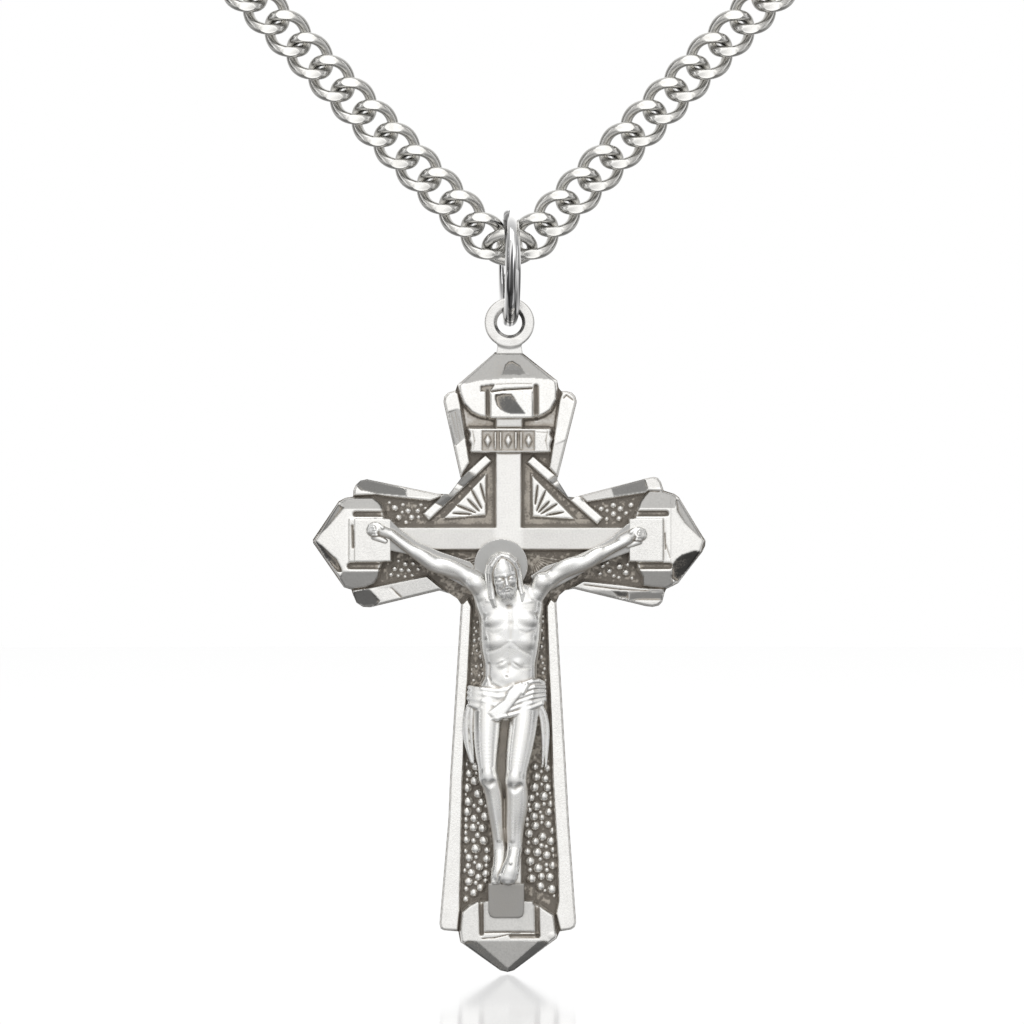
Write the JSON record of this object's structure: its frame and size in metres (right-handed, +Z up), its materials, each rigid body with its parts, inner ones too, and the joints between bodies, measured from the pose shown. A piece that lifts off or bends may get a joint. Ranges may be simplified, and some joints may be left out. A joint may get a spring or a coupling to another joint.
{
  "type": "crucifix pendant on chain",
  "caption": "Antiqued silver crucifix pendant with faceted end caps, hung by a loop and jump ring from a diamond-cut curb chain with a lobster clasp.",
  "frame": {"origin": "middle of the chain's centre link, from which the jump ring and the pendant hang", "axes": "+Z up, +X to the viewer's right, the front of the cross faces -Y"},
  "size_m": [0.0509, 0.0076, 0.0734],
  "materials": {
    "bright_silver": "polished silver plate, diamond-cut flats on the curb links",
    "satin_silver": "satin sterling silver with a soft polish on the edges",
    "antique_silver": "die-struck sterling silver, polished high points and dark oxidised recesses",
    "antique_silver_figure": "sterling silver with a soft satin finish, darkened in the folds",
    "spring_steel": "plain steel rivet and leaf spring"
  },
  "bodies": {
    "centre_link": {"centre_link": "bright_silver"},
    "jump_ring": {"jump_ring": "bright_silver"},
    "pendant": {"suspension_loop": "satin_silver", "cross_body": "antique_silver", "corpus": "antique_silver_figure"},
    "link_left_01": {"link_left_01": "bright_silver"},
    "link_left_02": {"link_left_02": "bright_silver"},
    "link_left_03": {"link_left_03": "bright_silver"},
    "link_left_04": {"link_left_04": "bright_silver"},
    "link_left_05": {"link_left_05": "bright_silver"},
    "link_left_06": {"link_left_06": "bright_silver"},
    "link_left_07": {"link_left_07": "bright_silver"},
    "link_left_08": {"link_left_08": "bright_silver"},
    "link_left_09": {"link_left_09": "bright_silver"},
    "link_left_10": {"link_left_10": "bright_silver"},
    "link_left_11": {"link_left_11": "bright_silver"},
    "link_left_12": {"link_left_12": "bright_silver"},
    "connector_left": {"connector_ring_left": "bright_silver"},
    "clasp": {"clasp_body": "bright_silver", "clasp_pin": "spring_steel", "clasp_spring": "spring_steel"},
    "link_right_01": {"link_right_01": "bright_silver"},
    "link_right_02": {"link_right_02": "bright_silver"},
    "link_right_03": {"link_right_03": "bright_silver"},
    "link_right_04": {"link_right_04": "bright_silver"},
    "link_right_05": {"link_right_05": "bright_silver"},
    "link_right_06": {"link_right_06": "bright_silver"},
    "link_right_07": {"link_right_07": "bright_silver"},
    "link_right_08": {"link_right_08": "bright_silver"},
    "link_right_09": {"link_right_09": "bright_silver"},
    "link_right_10": {"link_right_10": "bright_silver"},
    "link_right_11": {"link_right_11": "bright_silver"},
    "link_right_12": {"link_right_12": "bright_silver"},
    "connector_right": {"connector_ring_right": "bright_silver"},
    "end_ring": {"end_ring": "bright_silver"},
    "clasp_lever": {"clasp_lever": "bright_silver"}
  },
  "joints": [
    {"name": "ring_swing", "type": "hinge", "parent": "centre_link", "child": "jump_ring", "pos_m": [0, -0.00086, 0.00083], "axis": [1, 0, 0], "range_deg": [-8, 30]},
    {"name": "pendant_sway", "type": "hinge", "parent": "jump_ring", "child": "pendant", "pos_m": [0, 0, -0.00465], "axis": [0, 1, 0], "range_deg": [-35, 35]},
    {"name": "clasp_lever_press", "type": "hinge", "parent": "clasp", "child": "clasp_lever", "pos_m": [-0.02078, -0.00019, 0.02193], "axis": [0, 1, 0], "range_deg": [-20, 0], "stiffness_Nm_per_rad": 0.02, "deforming": ["clasp_spring"]},
    {"name": "link_left_01_hinge", "type": "hinge", "parent": "centre_link", "child": "link_left_01", "pos_m": [-0.00151, -0.00034, -0.00021], "axis": [0, 0, 1], "range_deg": [-12, 12]},
    {"name": "link_left_02_hinge", "type": "hinge", "parent": "link_left_01", "child": "link_left_02", "pos_m": [-0.00236, -0.00019, 0.00142], "axis": [0, 0, 1], "range_deg": [-12, 12]},
    {"name": "link_left_03_hinge", "type": "hinge", "parent": "link_left_02", "child": "link_left_03", "pos_m": [-0.00377, -0.00019, 0.00287], "axis": [0, 0, 1], "range_deg": [-12, 12]},
    {"name": "link_left_04_hinge", "type": "hinge", "parent": "link_left_03", "child": "link_left_04", "pos_m": [-0.00517, -0.00019, 0.00432], "axis": [0, 0, 1], "range_deg": [-12, 12]},
    {"name": "link_left_05_hinge", "type": "hinge", "parent": "link_left_04", "child": "link_left_05", "pos_m": [-0.00658, -0.00019, 0.00577], "axis": [0, 0, 1], "range_deg": [-12, 12]},
    {"name": "link_left_06_hinge", "type": "hinge", "parent": "link_left_05", "child": "link_left_06", "pos_m": [-0.00799, -0.00019, 0.00722], "axis": [0, 0, 1], "range_deg": [-12, 12]},
    {"name": "link_left_07_hinge", "type": "hinge", "parent": "link_left_06", "child": "link_left_07", "pos_m": [-0.00939, -0.00019, 0.00867], "axis": [0, 0, 1], "range_deg": [-12, 12]},
    {"name": "link_left_08_hinge", "type": "hinge", "parent": "link_left_07", "child": "link_left_08", "pos_m": [-0.0108, -0.00019, 0.01012], "axis": [0, 0, 1], "range_deg": [-12, 12]},
    {"name": "link_left_09_hinge", "type": "hinge", "parent": "link_left_08", "child": "link_left_09", "pos_m": [-0.0122, -0.00019, 0.01157], "axis": [0, 0, 1], "range_deg": [-12, 12]},
    {"name": "link_left_10_hinge", "type": "hinge", "parent": "link_left_09", "child": "link_left_10", "pos_m": [-0.01361, -0.00019, 0.01302], "axis": [0, 0, 1], "range_deg": [-12, 12]},
    {"name": "link_left_11_hinge", "type": "hinge", "parent": "link_left_10", "child": "link_left_11", "pos_m": [-0.01501, -0.00019, 0.01447], "axis": [0, 0, 1], "range_deg": [-12, 12]},
    {"name": "link_left_12_hinge", "type": "hinge", "parent": "link_left_11", "child": "link_left_12", "pos_m": [-0.01642, -0.00019, 0.01592], "axis": [0, 0, 1], "range_deg": [-12, 12]},
    {"name": "connector_left_hinge", "type": "hinge", "parent": "link_left_12", "child": "connector_left", "pos_m": [-0.01784, -0.00019, 0.01738], "axis": [0, 0, 1], "range_deg": [-12, 12]},
    {"name": "clasp_hinge", "type": "hinge", "parent": "connector_left", "child": "clasp", "pos_m": [-0.01927, -0.00019, 0.01886], "axis": [0, 0, 1], "range_deg": [-15, 5]},
    {"name": "link_right_01_hinge", "type": "hinge", "parent": "centre_link", "child": "link_right_01", "pos_m": [0.00151, -0.00034, -0.00021], "axis": [0, 0, 1], "range_deg": [-12, 12]},
    {"name": "link_right_02_hinge", "type": "hinge", "parent": "link_right_01", "child": "link_right_02", "pos_m": [0.00236, -0.00019, 0.00142], "axis": [0, 0, 1], "range_deg": [-12, 12]},
    {"name": "link_right_03_hinge", "type": "hinge", "parent": "link_right_02", "child": "link_right_03", "pos_m": [0.00377, -0.00019, 0.00287], "axis": [0, 0, 1], "range_deg": [-12, 12]},
    {"name": "link_right_04_hinge", "type": "hinge", "parent": "link_right_03", "child": "link_right_04", "pos_m": [0.00517, -0.00019, 0.00432], "axis": [0, 0, 1], "range_deg": [-12, 12]},
    {"name": "link_right_05_hinge", "type": "hinge", "parent": "link_right_04", "child": "link_right_05", "pos_m": [0.00658, -0.00019, 0.00577], "axis": [0, 0, 1], "range_deg": [-12, 12]},
    {"name": "link_right_06_hinge", "type": "hinge", "parent": "link_right_05", "child": "link_right_06", "pos_m": [0.00799, -0.00019, 0.00722], "axis": [0, 0, 1], "range_deg": [-12, 12]},
    {"name": "link_right_07_hinge", "type": "hinge", "parent": "link_right_06", "child": "link_right_07", "pos_m": [0.00939, -0.00019, 0.00867], "axis": [0, 0, 1], "range_deg": [-12, 12]},
    {"name": "link_right_08_hinge", "type": "hinge", "parent": "link_right_07", "child": "link_right_08", "pos_m": [0.0108, -0.00019, 0.01012], "axis": [0, 0, 1], "range_deg": [-12, 12]},
    {"name": "link_right_09_hinge", "type": "hinge", "parent": "link_right_08", "child": "link_right_09", "pos_m": [0.0122, -0.00019, 0.01157], "axis": [0, 0, 1], "range_deg": [-12, 12]},
    {"name": "link_right_10_hinge", "type": "hinge", "parent": "link_right_09", "child": "link_right_10", "pos_m": [0.01361, -0.00019, 0.01302], "axis": [0, 0, 1], "range_deg": [-12, 12]},
    {"name": "link_right_11_hinge", "type": "hinge", "parent": "link_right_10", "child": "link_right_11", "pos_m": [0.01501, -0.00019, 0.01447], "axis": [0, 0, 1], "range_deg": [-12, 12]},
    {"name": "link_right_12_hinge", "type": "hinge", "parent": "link_right_11", "child": "link_right_12", "pos_m": [0.01642, -0.00019, 0.01592], "axis": [0, 0, 1], "range_deg": [-12, 12]},
    {"name": "connector_right_hinge", "type": "hinge", "parent": "link_right_12", "child": "connector_right", "pos_m": [0.01784, -0.00019, 0.01738], "axis": [0, 0, 1], "range_deg": [-12, 12]},
    {"name": "end_ring_hinge", "type": "hinge", "parent": "connector_right", "child": "end_ring", "pos_m": [0.01927, -0.00019, 0.01886], "axis": [0, 0, 1], "range_deg": [-5, 15]}
  ]
}
